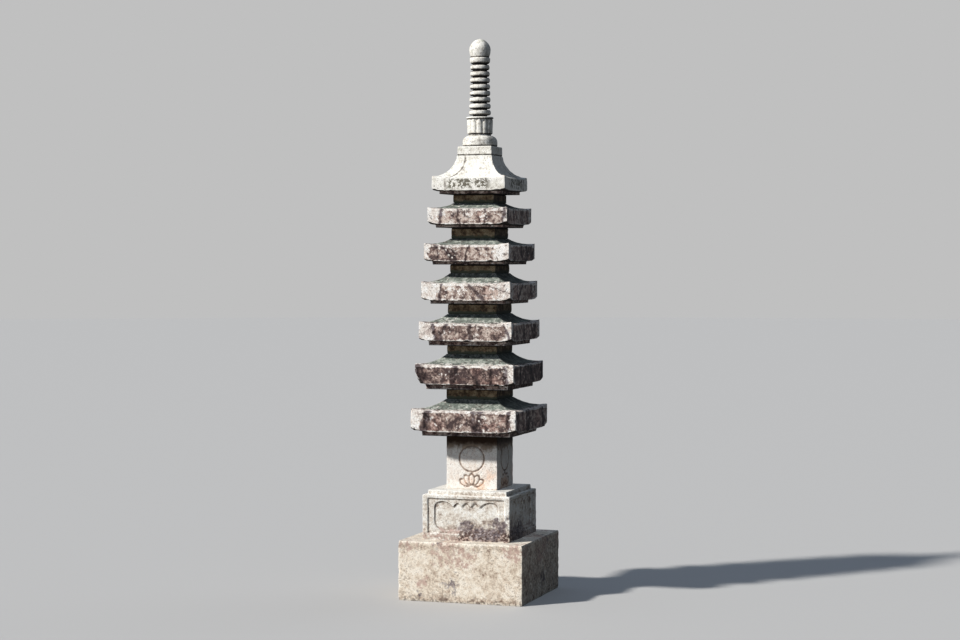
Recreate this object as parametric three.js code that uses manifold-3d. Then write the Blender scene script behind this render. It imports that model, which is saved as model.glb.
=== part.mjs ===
// A seven-storey garden pagoda of cut granite, stacked dry from separate stones.
// Millimetres, +Z up. The origin is the centre of the lower plinth's underside,
// and the front faces -Y.

import * as THREE from 'three';
import { mergeVertices } from 'three/addons/utils/BufferGeometryUtils.js';
import Module from 'manifold-3d';

const wasm = await Module();
wasm.setup();

// Driving dimensions: the two plinths
const lowerPlinthWidth = 1047;
const lowerPlinthTop = 480;
const upperPlinthWidth = 742;
const upperPlinthTop = 845;
const daisWidth = 670;
const daisTop = 880;
const blockArris = 5;

// The sunk panel in each side of the upper plinth, and the cusped recess inside it
const panelWidth = 652;
const panelBottom = 532;
const panelTop = 818;
const panelDepth = 12;
const recessDepth = 12;
const recessHalfWidth = 273;
const recessBottom = 556;
const recessShoulder = 742;
const recessFootHalfWidth = 205;
const recessFootPull = 568;
const recessHaunch = 656;
const endLobeHalfWidth = 152;
const endLobePull = 812;
const cuspTip = 750;
const cuspHalfWidths = [112, 38];
const cuspLobeTop = 784;

// The storeys from the ground up. All heights are above the ground:
// bodyTop is also the underside of the roof's thin step, eave the lower edge of
// the eave's face, lip its upper edge, and crown the flat seat of the next stone.
// eaveLift and lipLift are how far those two edges rise at the corners.
const storeys = [
  { name: 'first', bodyWidth: 433, bodyTop: 1322, roofWidth: 890, eave: 1359, lip: 1530, crown: 1613,
    eaveLift: 31, lipLift: 17, stepInset: 70 },
  { name: 'second', bodyWidth: 433, bodyTop: 1698, roofWidth: 832, eave: 1738, lip: 1892, crown: 1979,
    eaveLift: 26, lipLift: 18, stepInset: 66 },
  { name: 'third', bodyWidth: 425, bodyTop: 2052, roofWidth: 785, eave: 2089, lip: 2228, crown: 2303,
    eaveLift: 22, lipLift: 21, stepInset: 62 },
  { name: 'fourth', bodyWidth: 415, bodyTop: 2388, roofWidth: 755, eave: 2415, lip: 2550, crown: 2634,
    eaveLift: 22, lipLift: 21, stepInset: 58 },
  { name: 'fifth', bodyWidth: 386, bodyTop: 2705, roofWidth: 720, eave: 2731, lip: 2860, crown: 2915,
    eaveLift: 20, lipLift: 20, stepInset: 55 },
  { name: 'sixth', bodyWidth: 372, bodyTop: 3004, roofWidth: 675, eave: 3028, lip: 3154, crown: 3202,
    eaveLift: 24, lipLift: 15, stepInset: 52 },
  { name: 'seventh', bodyWidth: 345, bodyTop: 3276, roofWidth: 622, eave: 3300, lip: 3403, crown: 3590,
    eaveLift: 16, lipLift: 18, stepInset: 50 },
];
const liftReach = 115;
const seatLedge = 3;

// The sag of the slopes: the lower roofs curve up evenly, and the top one runs
// nearly flat inwards before it turns steeply up to the finial's base.
const lowerSlopeSag = 2.2;
const topSlopeSag = 1.8;
const topSlopeTurn = 0.6;

// The finial. Heights are above the ground, radii from the axis.
const finialBaseWidth = 292;
const finialBaseTop = 3665;
const bowlRadius = 144;
const bowlDrumHeight = 34;
const bowlFootRound = 6;
const bowlNeckRadius = 88;
const bowlNeckHeight = 10;
const bowlTop = 3764;
const lotusFootRadius = 92;
const lotusThroatRadius = 96;
const lotusRimRadius = 112;
const lotusRimHeight = 16;
const lotusRimRound = 5;
const lotusTop = 3907;
const lotusPetals = 12;
const petalBulge = 11;
const petalArchStart = 0.55;
const shaftRadius = 58;
const ringRadiusLowest = 90;
const ringRadiusHighest = 79;
const ringRound = 7;
const ringCount = 8;
const ringHeight = 41;
const lowestRing = 3943;
const highestRing = 4311;
const ringsTop = 4337;
const cupFootRadius = 54;
const cupRimRadius = 84;
const cupRimRound = 6;
const cupTop = 4390;
const jewelFootRadius = 74;
const jewelRadius = 88;
const jewelWaist = 4455;
const jewelTop = 4545;

// How finely the curved stones are divided
const sideSegments = 10;
const slopeSegments = 6;
const roundSegments = 36;
const segmentsPerPetal = 8;
const recessSegments = 7;

function stone(red, green, blue) {
  const colour = new THREE.Color().setRGB(red / 255, green / 255, blue / 255, THREE.SRGBColorSpace);
  return new THREE.MeshStandardMaterial({ color: colour, roughness: 0.95, metalness: 0 });
}

const paleGranite = stone(226, 216, 198);
const mauveGranite = stone(150, 128, 124);
const bareGranite = stone(224, 221, 212);

// Spins a profile of Vector2(radius, height) about the vertical axis, closed on that axis.
function spin(profile, segments, startAngle = 0) {
  const geometry = new THREE.LatheGeometry(profile, segments, startAngle);
  geometry.rotateX(Math.PI / 2);
  return geometry;
}

// Pushes a spun ring out to a square one, from corner to corner. The segments crowd
// towards the corners, and lift(halfWidth, distanceFromCorner, height) says how far
// a point rises there.
function square(profile, segmentsOnSide, lift) {
  const geometry = spin(profile, 4 * segmentsOnSide, Math.PI / 4);
  const position = geometry.attributes.position;
  for (let i = 0; i < position.count; i += 1) {
    const halfWidth = Math.hypot(position.getX(i), position.getY(i));
    const angle = Math.atan2(position.getY(i), position.getX(i));
    const quarter = Math.round(angle / (Math.PI / 2));
    const along = (angle - quarter * (Math.PI / 2)) / (Math.PI / 4);
    const sideways = halfWidth * Math.sin(along * Math.PI / 2);
    const cosine = Math.cos(quarter * Math.PI / 2);
    const sine = Math.sin(quarter * Math.PI / 2);
    const height = position.getZ(i);
    const rise = lift ? lift(halfWidth, halfWidth - Math.abs(sideways), height) : 0;
    position.setXYZ(
      i,
      halfWidth * cosine - sideways * sine,
      halfWidth * sine + sideways * cosine,
      height + rise,
    );
  }
  return geometry;
}

// A square block with its upper and lower arrises taken off.
function block(width, bottom, top) {
  const half = width / 2;
  return square([
    new THREE.Vector2(0, bottom),
    new THREE.Vector2(half - blockArris, bottom),
    new THREE.Vector2(half, bottom + blockArris),
    new THREE.Vector2(half, top - blockArris),
    new THREE.Vector2(half - blockArris, top),
    new THREE.Vector2(0, top),
  ], 1);
}

// How far a slope has climbed, from 0 at the lip to 1 at the crown, once it has come
// inward by a share of its run.
function lowerSlope(inward) {
  return inward ** lowerSlopeSag;
}

function topSlope(inward) {
  return 1 - (1 - inward ** topSlopeSag) ** topSlopeTurn;
}

// One roof stone: thin step, flat underside, upright eave, curved slope and flat crown.
// The slope's points stand closer together towards the crown, where it bends most.
function roof(storey, seatWidth, slope) {
  const half = storey.roofWidth / 2;
  const stepHalf = half - storey.stepInset;
  const seatHalf = seatWidth / 2 + seatLedge;
  const profile = [
    new THREE.Vector2(0, storey.bodyTop),
    new THREE.Vector2(stepHalf, storey.bodyTop),
    new THREE.Vector2(stepHalf, storey.eave),
    new THREE.Vector2(half, storey.eave),
    new THREE.Vector2(half, storey.lip),
  ];
  for (let i = 1; i <= slopeSegments; i += 1) {
    const inward = Math.sin((Math.PI / 2) * i / slopeSegments);
    const climb = (storey.crown - storey.lip) * slope(inward);
    profile.push(new THREE.Vector2(half + (seatHalf - half) * inward, storey.lip + climb));
  }
  profile.push(new THREE.Vector2(0, storey.crown));

  return square(profile, sideSegments, (halfWidth, fromCorner, height) => {
    if (halfWidth <= Math.min(stepHalf, seatHalf)) return 0;
    const nearCorner = Math.max(0, 1 - fromCorner / liftReach) ** 2;
    if (height < storey.lip) {
      return halfWidth > stepHalf + 1 ? storey.eaveLift * nearCorner : 0;
    }
    const outward = Math.max(0, (halfWidth - seatHalf) / (half - seatHalf));
    return storey.lipLift * nearCorner * outward ** 1.5;
  });
}

// Turns a closed geometry into a solid that can be cut.
function solid(geometry) {
  const bare = geometry.clone();
  bare.deleteAttribute('normal');
  bare.deleteAttribute('uv');
  const merged = mergeVertices(bare, 0.001);
  return new wasm.Manifold(new wasm.Mesh({
    numProp: 3,
    vertProperties: new Float32Array(merged.attributes.position.array),
    triVerts: new Uint32Array(merged.index.array),
  }));
}

function geometryOf(manifold) {
  const mesh = manifold.getMesh();
  const geometry = new THREE.BufferGeometry();
  geometry.setAttribute('position', new THREE.BufferAttribute(mesh.vertProperties, 3));
  geometry.setIndex(new THREE.BufferAttribute(mesh.triVerts, 1));
  geometry.computeVertexNormals();
  return geometry;
}

// The outline of the cusped recess, drawn in X and Z: a bowl-shaped foot, upright
// sides, a large lobe at each end of the top and three small lobes between them.
// A small lobe's control point lies twice as far above its cusps as its own top does.
function recessOutline() {
  const [outerCusp, innerCusp] = cuspHalfWidths;
  const middleCusp = (outerCusp + innerCusp) / 2;
  const smallPull = 2 * cuspLobeTop - cuspTip;
  const outline = new THREE.Shape();
  outline.moveTo(-recessFootHalfWidth, recessBottom);
  outline.lineTo(recessFootHalfWidth, recessBottom);
  outline.quadraticCurveTo(recessHalfWidth, recessFootPull, recessHalfWidth, recessHaunch);
  outline.lineTo(recessHalfWidth, recessShoulder);
  outline.bezierCurveTo(recessHalfWidth, endLobePull, endLobeHalfWidth, endLobePull, outerCusp, cuspTip);
  outline.quadraticCurveTo(middleCusp, smallPull, innerCusp, cuspTip);
  outline.quadraticCurveTo(0, smallPull, -innerCusp, cuspTip);
  outline.quadraticCurveTo(-middleCusp, smallPull, -outerCusp, cuspTip);
  outline.bezierCurveTo(
    -endLobeHalfWidth, endLobePull,
    -recessHalfWidth, endLobePull,
    -recessHalfWidth, recessShoulder,
  );
  outline.lineTo(-recessHalfWidth, recessHaunch);
  outline.quadraticCurveTo(-recessHalfWidth, recessFootPull, -recessFootHalfWidth, recessBottom);
  return outline;
}

// What is cut from one side: the panel, and the recess to the panel's back and beyond.
// Both tools stand clear of the face, so that they cut right through it.
function sideCut() {
  const face = -upperPlinthWidth / 2;
  const clear = 20;
  const panel = new THREE.BoxGeometry(panelWidth, panelDepth + clear, panelTop - panelBottom);
  panel.translate(0, face + (panelDepth - clear) / 2, (panelTop + panelBottom) / 2);
  const recess = new THREE.ExtrudeGeometry(recessOutline(), {
    depth: panelDepth + recessDepth + clear,
    bevelEnabled: false,
    curveSegments: recessSegments,
  });
  recess.rotateX(Math.PI / 2);
  recess.translate(0, face + panelDepth + recessDepth, 0);
  return solid(panel).add(solid(recess));
}

function upperPlinth() {
  const half = upperPlinthWidth / 2;
  const daisHalf = daisWidth / 2;
  const blank = square([
    new THREE.Vector2(0, lowerPlinthTop),
    new THREE.Vector2(half, lowerPlinthTop),
    new THREE.Vector2(half, upperPlinthTop - blockArris),
    new THREE.Vector2(half - blockArris, upperPlinthTop),
    new THREE.Vector2(daisHalf, upperPlinthTop),
    new THREE.Vector2(daisHalf, daisTop - blockArris),
    new THREE.Vector2(daisHalf - blockArris, daisTop),
    new THREE.Vector2(0, daisTop),
  ], 1);
  const cut = sideCut();
  let carved = solid(blank);
  for (let side = 0; side < 4; side += 1) {
    carved = carved.subtract(cut.rotate([0, 0, 90 * side]));
  }
  return geometryOf(carved);
}

// The inverted bowl: a low drum that rounds over to a narrow neck.
function finialBowl() {
  const drumTop = finialBaseTop + bowlDrumHeight;
  const neckFoot = bowlTop - bowlNeckHeight;
  const outline = new THREE.Path();
  outline.moveTo(0, finialBaseTop);
  outline.lineTo(bowlRadius - bowlFootRound, finialBaseTop);
  outline.lineTo(bowlRadius, finialBaseTop + bowlFootRound);
  outline.lineTo(bowlRadius, drumTop);
  outline.bezierCurveTo(bowlRadius, neckFoot - 20, bowlRadius - 24, neckFoot, bowlNeckRadius, neckFoot);
  outline.lineTo(bowlNeckRadius, bowlTop);
  outline.lineTo(0, bowlTop);
  return spin(outline.getPoints(6), roundSegments);
}

// Upright petals with rounded tips stand round a drum, under a thin round rim.
function finialLotus() {
  const petalTip = lotusTop - lotusRimHeight;
  const petalHeight = petalTip - bowlTop;
  const profile = [
    new THREE.Vector2(0, bowlTop),
    new THREE.Vector2(lotusFootRadius, bowlTop),
  ];
  for (const climb of [0.06, 0.18, 0.36, 0.55, 0.72, 0.85, 0.94, 1]) {
    const throat = lotusFootRadius + (lotusThroatRadius - lotusFootRadius) * climb;
    profile.push(new THREE.Vector2(throat, bowlTop + petalHeight * climb));
  }
  profile.push(new THREE.Vector2(lotusRimRadius - lotusRimRound, petalTip));
  profile.push(new THREE.Vector2(lotusRimRadius, petalTip + lotusRimRound));
  profile.push(new THREE.Vector2(lotusRimRadius, lotusTop - lotusRimRound));
  profile.push(new THREE.Vector2(lotusRimRadius - lotusRimRound, lotusTop));
  profile.push(new THREE.Vector2(0, lotusTop));
  const geometry = spin(profile, lotusPetals * segmentsPerPetal);

  // Each petal is a rounded rib that narrows to an arch below the rim, and a
  // groove between two petals faces the front.
  const position = geometry.attributes.position;
  const petalAngle = 2 * Math.PI / lotusPetals;
  for (let i = 0; i < position.count; i += 1) {
    const radius = Math.hypot(position.getX(i), position.getY(i));
    const climb = (position.getZ(i) - bowlTop) / petalHeight;
    if (climb <= 0.05 || climb >= 0.99) continue;
    const turn = Math.atan2(position.getY(i), position.getX(i)) / petalAngle + 0.5;
    const across = 2 * Math.abs(turn - Math.round(turn));
    const arch = Math.max(0, climb - petalArchStart) / (1 - petalArchStart);
    const halfPetal = Math.sqrt(1 - arch * arch);
    const swell = Math.sqrt(Math.max(0, 1 - (across / halfPetal) ** 2));
    const scale = 1 + petalBulge * swell / radius;
    position.setXY(i, position.getX(i) * scale, position.getY(i) * scale);
  }
  return geometry;
}

// The rings on one shaft, each a little smaller than the one below.
function finialRings() {
  const profile = [
    new THREE.Vector2(0, lotusTop),
    new THREE.Vector2(shaftRadius, lotusTop),
  ];
  for (let i = 0; i < ringCount; i += 1) {
    const climb = i / (ringCount - 1);
    const centre = lowestRing + (highestRing - lowestRing) * climb;
    const radius = ringRadiusLowest + (ringRadiusHighest - ringRadiusLowest) * climb;
    profile.push(new THREE.Vector2(shaftRadius, centre - ringHeight / 2));
    profile.push(new THREE.Vector2(radius - ringRound, centre - ringHeight / 2));
    profile.push(new THREE.Vector2(radius, centre - ringHeight / 5));
    profile.push(new THREE.Vector2(radius, centre + ringHeight / 5));
    profile.push(new THREE.Vector2(radius - ringRound, centre + ringHeight / 2));
    profile.push(new THREE.Vector2(shaftRadius, centre + ringHeight / 2));
  }
  profile.push(new THREE.Vector2(shaftRadius, ringsTop));
  profile.push(new THREE.Vector2(0, ringsTop));
  return spin(profile, roundSegments);
}

// The cup that holds the jewel: it swells from a narrow foot to an upright rim.
function finialCup() {
  const outline = new THREE.Path();
  outline.moveTo(0, ringsTop);
  outline.lineTo(cupFootRadius, ringsTop);
  outline.quadraticCurveTo(cupRimRadius, ringsTop, cupRimRadius, cupTop - 3 * cupRimRound);
  outline.lineTo(cupRimRadius, cupTop - cupRimRound);
  outline.lineTo(cupRimRadius - cupRimRound, cupTop);
  outline.lineTo(0, cupTop);
  return spin(outline.getPoints(5), roundSegments);
}

// The jewel: a squat ball on a narrower foot, drawn up to a blunt point.
function finialJewel() {
  const swellHeight = (jewelWaist - cupTop) / 2;
  const shoulder = jewelWaist + (jewelTop - jewelWaist) / 2;
  const outline = new THREE.Path();
  outline.moveTo(0, cupTop);
  outline.lineTo(jewelFootRadius, cupTop);
  outline.quadraticCurveTo(jewelRadius, cupTop + swellHeight, jewelRadius, jewelWaist);
  outline.bezierCurveTo(jewelRadius, shoulder, jewelRadius / 2, jewelTop - 6, 14, jewelTop - 3);
  outline.quadraticCurveTo(6, jewelTop, 0, jewelTop);
  return spin(outline.getPoints(7), roundSegments);
}

const pagoda = new THREE.Group();

function lay(name, geometry, material) {
  const mesh = new THREE.Mesh(geometry, material);
  mesh.name = name;
  pagoda.add(mesh);
}

lay('lower_plinth', block(lowerPlinthWidth, 0, lowerPlinthTop), paleGranite);
lay('upper_plinth', upperPlinth(), paleGranite);

let seat = daisTop;
for (let i = 0; i < storeys.length; i += 1) {
  const storey = storeys[i];
  const isTop = i === storeys.length - 1;
  const seatWidth = isTop ? finialBaseWidth : storeys[i + 1].bodyWidth;
  const bodyStone = i === 0 ? paleGranite : mauveGranite;
  lay(`${storey.name}_body`, block(storey.bodyWidth, seat, storey.bodyTop), bodyStone);
  const slope = isTop ? topSlope : lowerSlope;
  lay(`${storey.name}_roof`, roof(storey, seatWidth, slope), isTop ? bareGranite : mauveGranite);
  seat = storey.crown;
}

lay('finial_base', block(finialBaseWidth, seat, finialBaseTop), bareGranite);
lay('finial_bowl', finialBowl(), bareGranite);
lay('finial_lotus', finialLotus(), bareGranite);
lay('finial_rings', finialRings(), bareGranite);
lay('finial_cup', finialCup(), bareGranite);
lay('finial_jewel', finialJewel(), bareGranite);

export default pagoda;
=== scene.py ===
# %% [markdown]
# # Dressing a seven-storey stone pagoda
#
# The pagoda is a stack of cut granite blocks: two plinths, seven bodies, seven roofs and a
# carved finial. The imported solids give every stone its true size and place, but they are
# crisp and plain. This lesson turns each solid into a worn, lichened stone. It could be done
# with bump maps alone, but a bump never changes an outline, and old granite is known by its
# rubbed arrises and chipped corners. So the stones are really remeshed and worn, and the
# materials only add what is finer than a few millimetres.

# %% Load the solids
import math
import bpy
import bmesh
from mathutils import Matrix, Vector, noise
from mathutils.kdtree import KDTree


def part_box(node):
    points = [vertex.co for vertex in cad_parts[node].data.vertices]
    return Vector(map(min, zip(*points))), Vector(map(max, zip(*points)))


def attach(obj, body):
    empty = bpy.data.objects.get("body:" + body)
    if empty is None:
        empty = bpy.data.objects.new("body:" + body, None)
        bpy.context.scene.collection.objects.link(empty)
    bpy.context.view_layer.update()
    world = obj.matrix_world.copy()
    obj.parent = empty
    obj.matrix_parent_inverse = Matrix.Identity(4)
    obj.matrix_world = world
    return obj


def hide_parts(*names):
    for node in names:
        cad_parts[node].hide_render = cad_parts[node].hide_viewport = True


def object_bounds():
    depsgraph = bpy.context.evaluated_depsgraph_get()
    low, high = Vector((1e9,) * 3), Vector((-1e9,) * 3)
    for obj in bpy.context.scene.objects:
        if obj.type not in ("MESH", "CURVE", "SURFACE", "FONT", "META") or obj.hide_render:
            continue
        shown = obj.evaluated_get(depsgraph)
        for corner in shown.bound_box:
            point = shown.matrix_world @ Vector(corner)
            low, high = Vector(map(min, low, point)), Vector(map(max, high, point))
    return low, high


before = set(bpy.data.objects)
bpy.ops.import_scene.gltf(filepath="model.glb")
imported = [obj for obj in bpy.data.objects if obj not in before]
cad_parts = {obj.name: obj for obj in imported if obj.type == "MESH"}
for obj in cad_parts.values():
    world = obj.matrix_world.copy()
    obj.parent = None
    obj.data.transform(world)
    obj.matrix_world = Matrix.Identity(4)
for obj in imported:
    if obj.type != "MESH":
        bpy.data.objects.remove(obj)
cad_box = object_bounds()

print("solids:", len(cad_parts))
print("height:", round(cad_box[1].z - cad_box[0].z, 3), "m")

# %% [markdown]
# ## The camera
#
# The photograph was taken from 17 m away, a little to the right of the front. Perspective
# depends only on where the camera stands, so the camera keeps that place and gets a longer
# lens, aimed at the middle of the tower. A shift or a crop would also bring the tower
# closer, but a longer lens is how a photographer would do it.

# %% Camera
eye = Vector((5.41, -16.38, 2.76))
middle = Vector((0, 0, 2.25))
focal_length, sensor_width = 79, 36  # millimetres

camera = bpy.data.objects.new("camera", bpy.data.cameras.new("camera"))
camera.data.lens = focal_length
camera.data.sensor_width = sensor_width
camera.location = eye
camera.rotation_mode = "QUATERNION"
camera.rotation_quaternion = (middle - eye).to_track_quat("-Z", "Y")
bpy.context.scene.collection.objects.link(camera)
bpy.context.scene.camera = camera
print("camera stands", round((middle - eye).length, 2), "m away")

# %% [markdown]
# ## Writing colours
#
# Colours are easiest to read as a colour picker shows them, from 0 to 255. Shader sockets
# want linear light instead, so one small function turns the first into the second.

# %% Colours
def tone(red, green, blue):
    """A colour from 0 to 255, as the linear value that a shader socket takes."""
    def linear(value):
        """The sRGB curve, which is a straight line near black."""
        value /= 255
        return value / 12.92 if value <= 0.04045 else ((value + 0.055) / 1.055) ** 2.4

    return (linear(red), linear(green), linear(blue), 1.0)


print("mid grey is", round(tone(128, 128, 128)[0], 3), "in linear light")

# %% [markdown]
# ## Small words for building a material
#
# A stone material is many thin coats: bleached or dark skin, crystals, lichen, moss and
# grime. Each coat needs a few nodes, so a few short functions stand for them. A node group
# in the editor would do the same, but functions keep every value in plain sight.

# %% Nodes and coats
def node(tree, kind, inputs=None, output=0, **settings):
    """Adds a node, fills its sockets with values or links, and gives back one output."""
    made = tree.nodes.new(kind)
    for name, value in settings.items():
        setattr(made, name, value)
    for name, value in (inputs or {}).items():
        if isinstance(value, bpy.types.NodeSocket):
            tree.links.new(value, made.inputs[name])
        else:
            made.inputs[name].default_value = value
    return made.outputs[output]


def coat(tree, amount, under, over, mode="MIX"):
    """Lays one colour over another."""
    return node(
        tree,
        "ShaderNodeMix",
        {0: amount, 6: under, 7: over},
        output=2,
        data_type="RGBA",
        blend_type=mode,
    )


# %% [markdown]
# ## The floor
#
# A plain pale floor lets the stone speak. A simple white one would throw its light back onto
# the sides that are turned from the sun, and in the photograph they stay dark. So the floor
# looks pale to the camera but gives back less, as a photographer's dark cloth would.

# %% Floor
floor_radius = 80
floor_seen, floor_lighting = tone(180, 179, 177), tone(120, 119, 117)

floor_paint = bpy.data.materials.new("pale_floor")
floor_paint.use_nodes = True
floor_tree = floor_paint.node_tree
watched = node(floor_tree, "ShaderNodeLightPath", output="Is Camera Ray")
floor_tone = coat(floor_tree, watched, floor_lighting, floor_seen)
floor_shader = floor_tree.nodes["Principled BSDF"]
floor_tree.links.new(floor_tone, floor_shader.inputs["Base Color"])
floor_shader.inputs["Roughness"].default_value = 0.9

floor_shape = bmesh.new()
bmesh.ops.create_circle(floor_shape, cap_ends=True, segments=96, radius=floor_radius)
floor_data = bpy.data.meshes.new("floor")
floor_shape.to_mesh(floor_data)
floor_shape.free()
floor_data.materials.append(floor_paint)
floor = bpy.data.objects.new("floor", floor_data)
bpy.context.scene.collection.objects.link(floor)
print("the floor reaches", floor_radius, "m from the tower")

# %% [markdown]
# ## The light
#
# The sun in the photograph stands on the left at 38 degrees, so the main light does too, and
# the roofs throw the same shadows. A sun lamp lights all 4.5 m of the tower evenly, as an
# area lamp wouldn't. A weak, wide sun from behind and a soft sky fill the shadows. Where the
# camera sees the world itself, it gets the tone of the lit floor, and no horizon crosses the
# tower.

# %% Suns
def sun(name, azimuth, elevation, strength, softness, colour):
    """A soft sun. Azimuth 0 shines from the front, and positive ones from the right."""
    lamp = bpy.data.objects.new(name, bpy.data.lights.new(name, "SUN"))
    lamp.data.energy = strength
    lamp.data.angle = math.radians(softness)
    lamp.data.color = colour
    a, e = math.radians(azimuth), math.radians(elevation)
    towards = Vector((math.sin(a) * math.cos(e), -math.cos(a) * math.cos(e), math.sin(e)))
    lamp.rotation_mode = "QUATERNION"
    lamp.rotation_quaternion = towards.to_track_quat("Z", "Y")
    bpy.context.scene.collection.objects.link(lamp)
    print(name, "shines from", azimuth, "degrees at a height of", elevation)


sun("key", azimuth=-45, elevation=38, strength=4.7, softness=4, colour=(1, 0.975, 0.94))
sun("fill", azimuth=140, elevation=40, strength=0.3, softness=40, colour=(0.86, 0.93, 1))

# %% Sky
sky_tone, sky_strength = tone(178, 196, 222), 0.36
backdrop_tone = tone(192, 192, 192)

world = bpy.data.worlds.new("soft_room")
world.use_nodes = True
sky = world.node_tree
lighting = sky.nodes["Background"]
lighting.inputs["Color"].default_value = sky_tone
lighting.inputs["Strength"].default_value = sky_strength
backdrop = node(sky, "ShaderNodeBackground", {"Color": backdrop_tone})
watched = node(sky, "ShaderNodeLightPath", output="Is Camera Ray")
either = node(sky, "ShaderNodeMixShader", {0: watched, 1: lighting.outputs[0], 2: backdrop})
sky.links.new(either, sky.nodes["World Output"].inputs["Surface"])
bpy.context.scene.world = world
bpy.context.scene.view_settings.view_transform = "Standard"
print("the sky lights with a strength of", sky_strength)

# %% [markdown]
# ## Small words for numbers
#
# A coat lies where a number is high, and the number comes from a note on the stone or out of
# noise. In the editor, every sum would be one more node to find and to join. Here each is a
# short word, so that a sum still reads like a sum.

# %% Words for numbers
def plus(tree, first, second):
    return node(tree, "ShaderNodeMath", {0: first, 1: second}, operation="ADD")


def minus(tree, first, second):
    return node(tree, "ShaderNodeMath", {0: first, 1: second}, operation="SUBTRACT")


def times(tree, first, second):
    return node(tree, "ShaderNodeMath", {0: first, 1: second}, operation="MULTIPLY")


def step(tree, value, low, high):
    """0 where the value is under low, 1 over high, with a smooth ramp between."""
    return node(
        tree,
        "ShaderNodeMapRange",
        {"Value": value, "From Min": low, "From Max": high},
        output="Result",
        interpolation_type="SMOOTHSTEP",
    )


def noted(tree, name):
    """A number that was written on the points of the stone."""
    return node(tree, "ShaderNodeAttribute", output="Fac", attribute_name=name)


# %% Words for noise
def cloud(tree, place, scale, detail=4.0, rough=0.55, shift=(0, 0, 0)):
    """Soft noise around 0.5. One wave is 1 / scale metres long."""
    moved = node(tree, "ShaderNodeMapping", {"Vector": place, "Location": shift})
    inputs = {"Vector": moved, "Scale": scale, "Detail": detail, "Roughness": rough}
    return node(tree, "ShaderNodeTexNoise", inputs, output="Fac")


def ragged(tree, value, *clouds):
    """Breaks a number up with clouds, each given with its weight."""
    for puff, weight in clouds:
        value = plus(tree, value, times(tree, minus(tree, puff, 0.5), weight))
    return value


# %% [markdown]
# ## How bleached the skin is
#
# Granite outdoors ages in one order: rain and sun bleach it almost white, shelter keeps a
# pinkish brown skin, and the dampest places turn purple and black. Each could be a coat of
# its own, but a single number, turned into a colour, keeps them in that order. It starts
# from what is noted on the stone, rises on the arrises, which stay clean, and is broken up
# by clouds of three sizes, as wide as a hand, a thumb and a fingertip.

# %% Whiteness
hand, thumb, fingertip = 6.0, 19.0, 50.0  # clouds to the metre


def whiteness(tree, place, start, wide, medium, small, arris):
    clean = times(tree, step(tree, noted(tree, "edge"), 0.1, 0.9), arris)
    return ragged(
        tree,
        plus(tree, start, clean),
        (cloud(tree, place, hand, detail=3.0), wide),
        (cloud(tree, place, thumb, detail=3.0, rough=0.6), medium),
        (cloud(tree, place, fingertip, detail=3.0, rough=0.6), small),
    )


def darkened(tree, age, name, weight):
    """Takes a noted number off the whiteness."""
    return minus(tree, age, times(tree, noted(tree, name), weight))


def grime_and_shade_in_hollows(tree, age, weight):
    """Darkens the grooves, where the noted edge is under zero: partly dirt, partly painted shade.
    """
    hollow = step(tree, noted(tree, "edge"), -0.04, -0.55)
    return minus(tree, age, times(tree, hollow, weight))


print("clouds are", *[round(100 / scale) for scale in (hand, thumb, fingertip)], "cm wide")

# %% [markdown]
# ## Crystals
#
# Granite is a mosaic of grains 3 mm across: pale feldspar, grey quartz and black mica. Noise
# could speckle it, but crystals have borders, so a pattern of cells is used. Each cell is
# one grain, and its random colour decides which kind it is.

# %% Crystals
grains_to_the_metre = 330.0
quartz_grey, mica_black = tone(196, 190, 184), tone(96, 88, 86)


def crystals(tree, place, under, amount=1.0):
    grains = {"Vector": place, "Scale": grains_to_the_metre}
    cells = node(tree, "ShaderNodeTexVoronoi", grains, output="Color")
    pick = node(tree, "ShaderNodeSeparateColor", {"Color": cells}, output="Red")
    quartz = times(tree, step(tree, pick, 0.60, 0.68), 0.55 * amount)
    mica = times(tree, step(tree, pick, 0.91, 0.94), 0.6 * amount)
    under = coat(tree, quartz, under, quartz_grey, "MULTIPLY")
    return coat(tree, mica, under, mica_black, "MULTIPLY")


print("a grain is", round(1000 / grains_to_the_metre, 1), "mm across")

# %% [markdown]
# ## What grows and settles on the skin
#
# Lichen makes round pale crusts, so it is the cores of a pattern of cells. Pits and crumbs
# are spots of noise, cut off at a threshold. Moss, soot and stains follow numbers noted on
# the stone; part of the moss and the soot is painted shade. They could be as smooth as the
# numbers, but what grows has a ragged border. The sides that the sun never reaches carry a
# grey coat that is partly a bloom of algae and partly painted shade.

# %% Specks
def specks(tree, place, under, colour, scale, share, amount, where=None, detail=2.5):
    """Small spots, dark pits or pale crumbs, over a share of the surface."""
    crumbs = cloud(tree, place, scale, detail=detail, rough=0.6, shift=(3.7, 1.3, 9.1))
    clusters = cloud(tree, place, 5.0, shift=(8.2, 5.5, 2.4))
    cut = 0.74 - 0.36 * share  # a larger share cuts the noise lower
    spot = step(tree, ragged(tree, crumbs, (clusters, 0.35)), cut - 0.015, cut + 0.03)
    if where is not None:
        spot = times(tree, spot, where)
    return coat(tree, times(tree, spot, amount), under, colour)


# %% Lichen
largest_crust, crust_wobble = 0.46, 0.28  # of the size of a cell


def lichen(tree, place, under, colour, size, amount, extra=0.0):
    """Round crusts of many sizes, in clusters, and more of them where extra is over 0."""
    cells = tree.nodes.new("ShaderNodeTexVoronoi")
    tree.links.new(place, cells.inputs["Vector"])
    cells.inputs["Scale"].default_value = 1.0 / size
    pick = cells.outputs["Color"]
    luck = node(tree, "ShaderNodeSeparateColor", {"Color": pick}, output="Green")
    reach = times(tree, luck, largest_crust)
    wobble = times(tree, cloud(tree, place, 60.0, detail=3.0), crust_wobble)
    distance = plus(tree, cells.outputs["Distance"], wobble)
    crust = step(tree, minus(tree, reach, distance), -0.10, 0.0)
    cluster = plus(tree, cloud(tree, place, 5.5, shift=(1.9, 7.7, 4.2)), extra)
    crust = times(tree, crust, step(tree, cluster, 0.50, 0.60))
    return coat(tree, times(tree, crust, amount), under, colour)
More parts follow.
